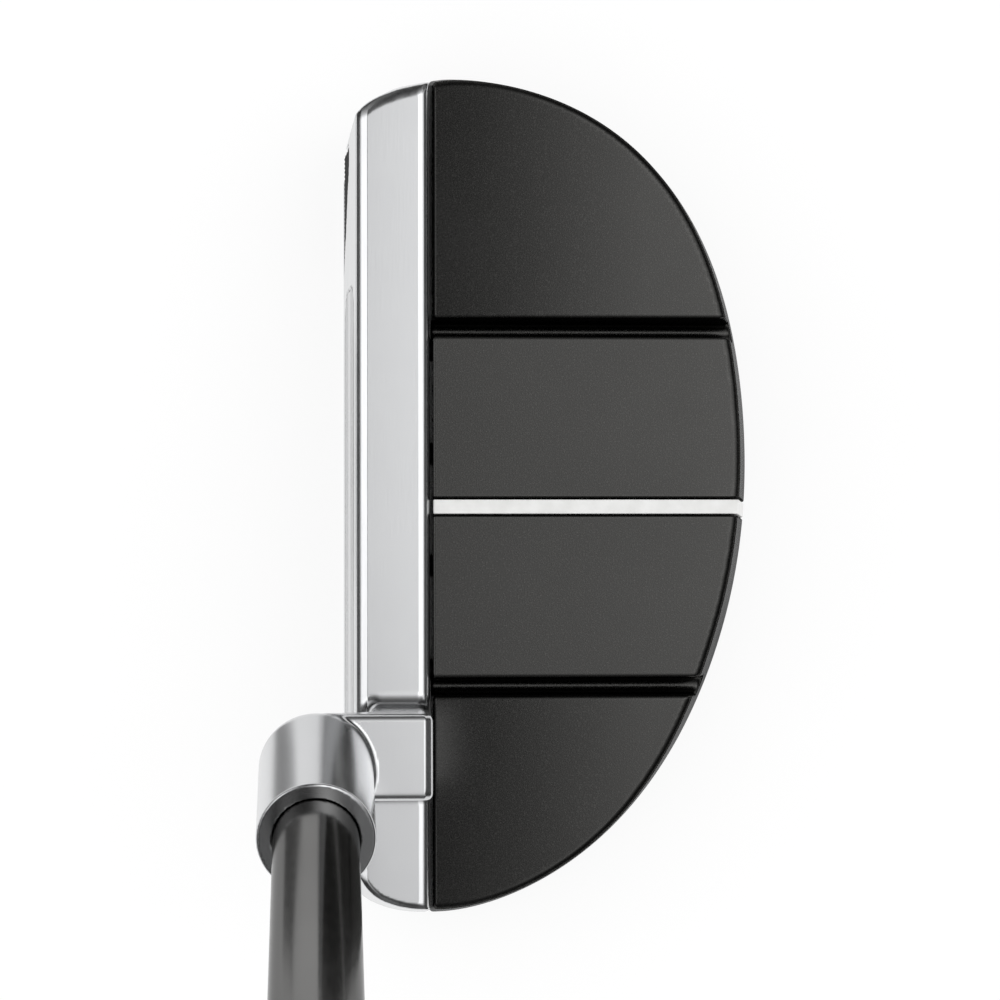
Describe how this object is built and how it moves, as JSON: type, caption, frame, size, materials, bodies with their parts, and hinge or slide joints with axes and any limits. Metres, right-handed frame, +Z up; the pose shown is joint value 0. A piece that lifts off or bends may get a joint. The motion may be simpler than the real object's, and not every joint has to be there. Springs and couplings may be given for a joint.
{
  "type": "mallet putter",
  "caption": "Right-handed mallet golf putter: steel face frame with crank neck, black half-moon body with white sight line, dark steel shaft and flat-front grip.",
  "frame": {"origin": "on the flat of the sole, under the sight line, 20 mm behind the leading edge", "axes": "+X from the striking face towards the back of the head, +Y towards the toe, +Z up; the target is towards -X"},
  "size_m": [0.0679, 0.3869, 0.8374],
  "materials": {
    "frame_steel": "satin",
    "insert_steel": "fine milled",
    "weight_steel": "satin",
    "black_anodised": "black bead-blasted anodised",
    "cover_aluminium": "satin anodised",
    "white_infill": "smooth paint fill",
    "elastomer": "matt",
    "screw_steel": "black oxide",
    "shaft_plate": "dark polished plating",
    "plug_plastic": "moulded",
    "tape": "crepe",
    "grip_rubber": "matt textured"
  },
  "bodies": {
    "root": {"body_screw_1": "screw_steel", "body_screw_2": "screw_steel", "body_screw_3": "screw_steel", "body_screw_4": "screw_steel", "butt_plug": "plug_plastic", "cover_screw_1": "screw_steel", "cover_screw_2": "screw_steel", "face_insert": "insert_steel", "front_frame": "frame_steel", "grip": "grip_rubber", "grip_cap": "grip_rubber", "grip_tape": "tape", "heel_inlay": "elastomer", "heel_weight": "weight_steel", "heel_weight_ring": "elastomer", "insert_backing": "elastomer", "rear_body": "black_anodised", "shaft": "shaft_plate", "shaft_tip_plug": "plug_plastic", "sight_line": "white_infill", "sole_cover": "cover_aluminium", "toe_inlay": "elastomer", "toe_weight": "weight_steel", "toe_weight_ring": "elastomer"}
  },
  "joints": []
}
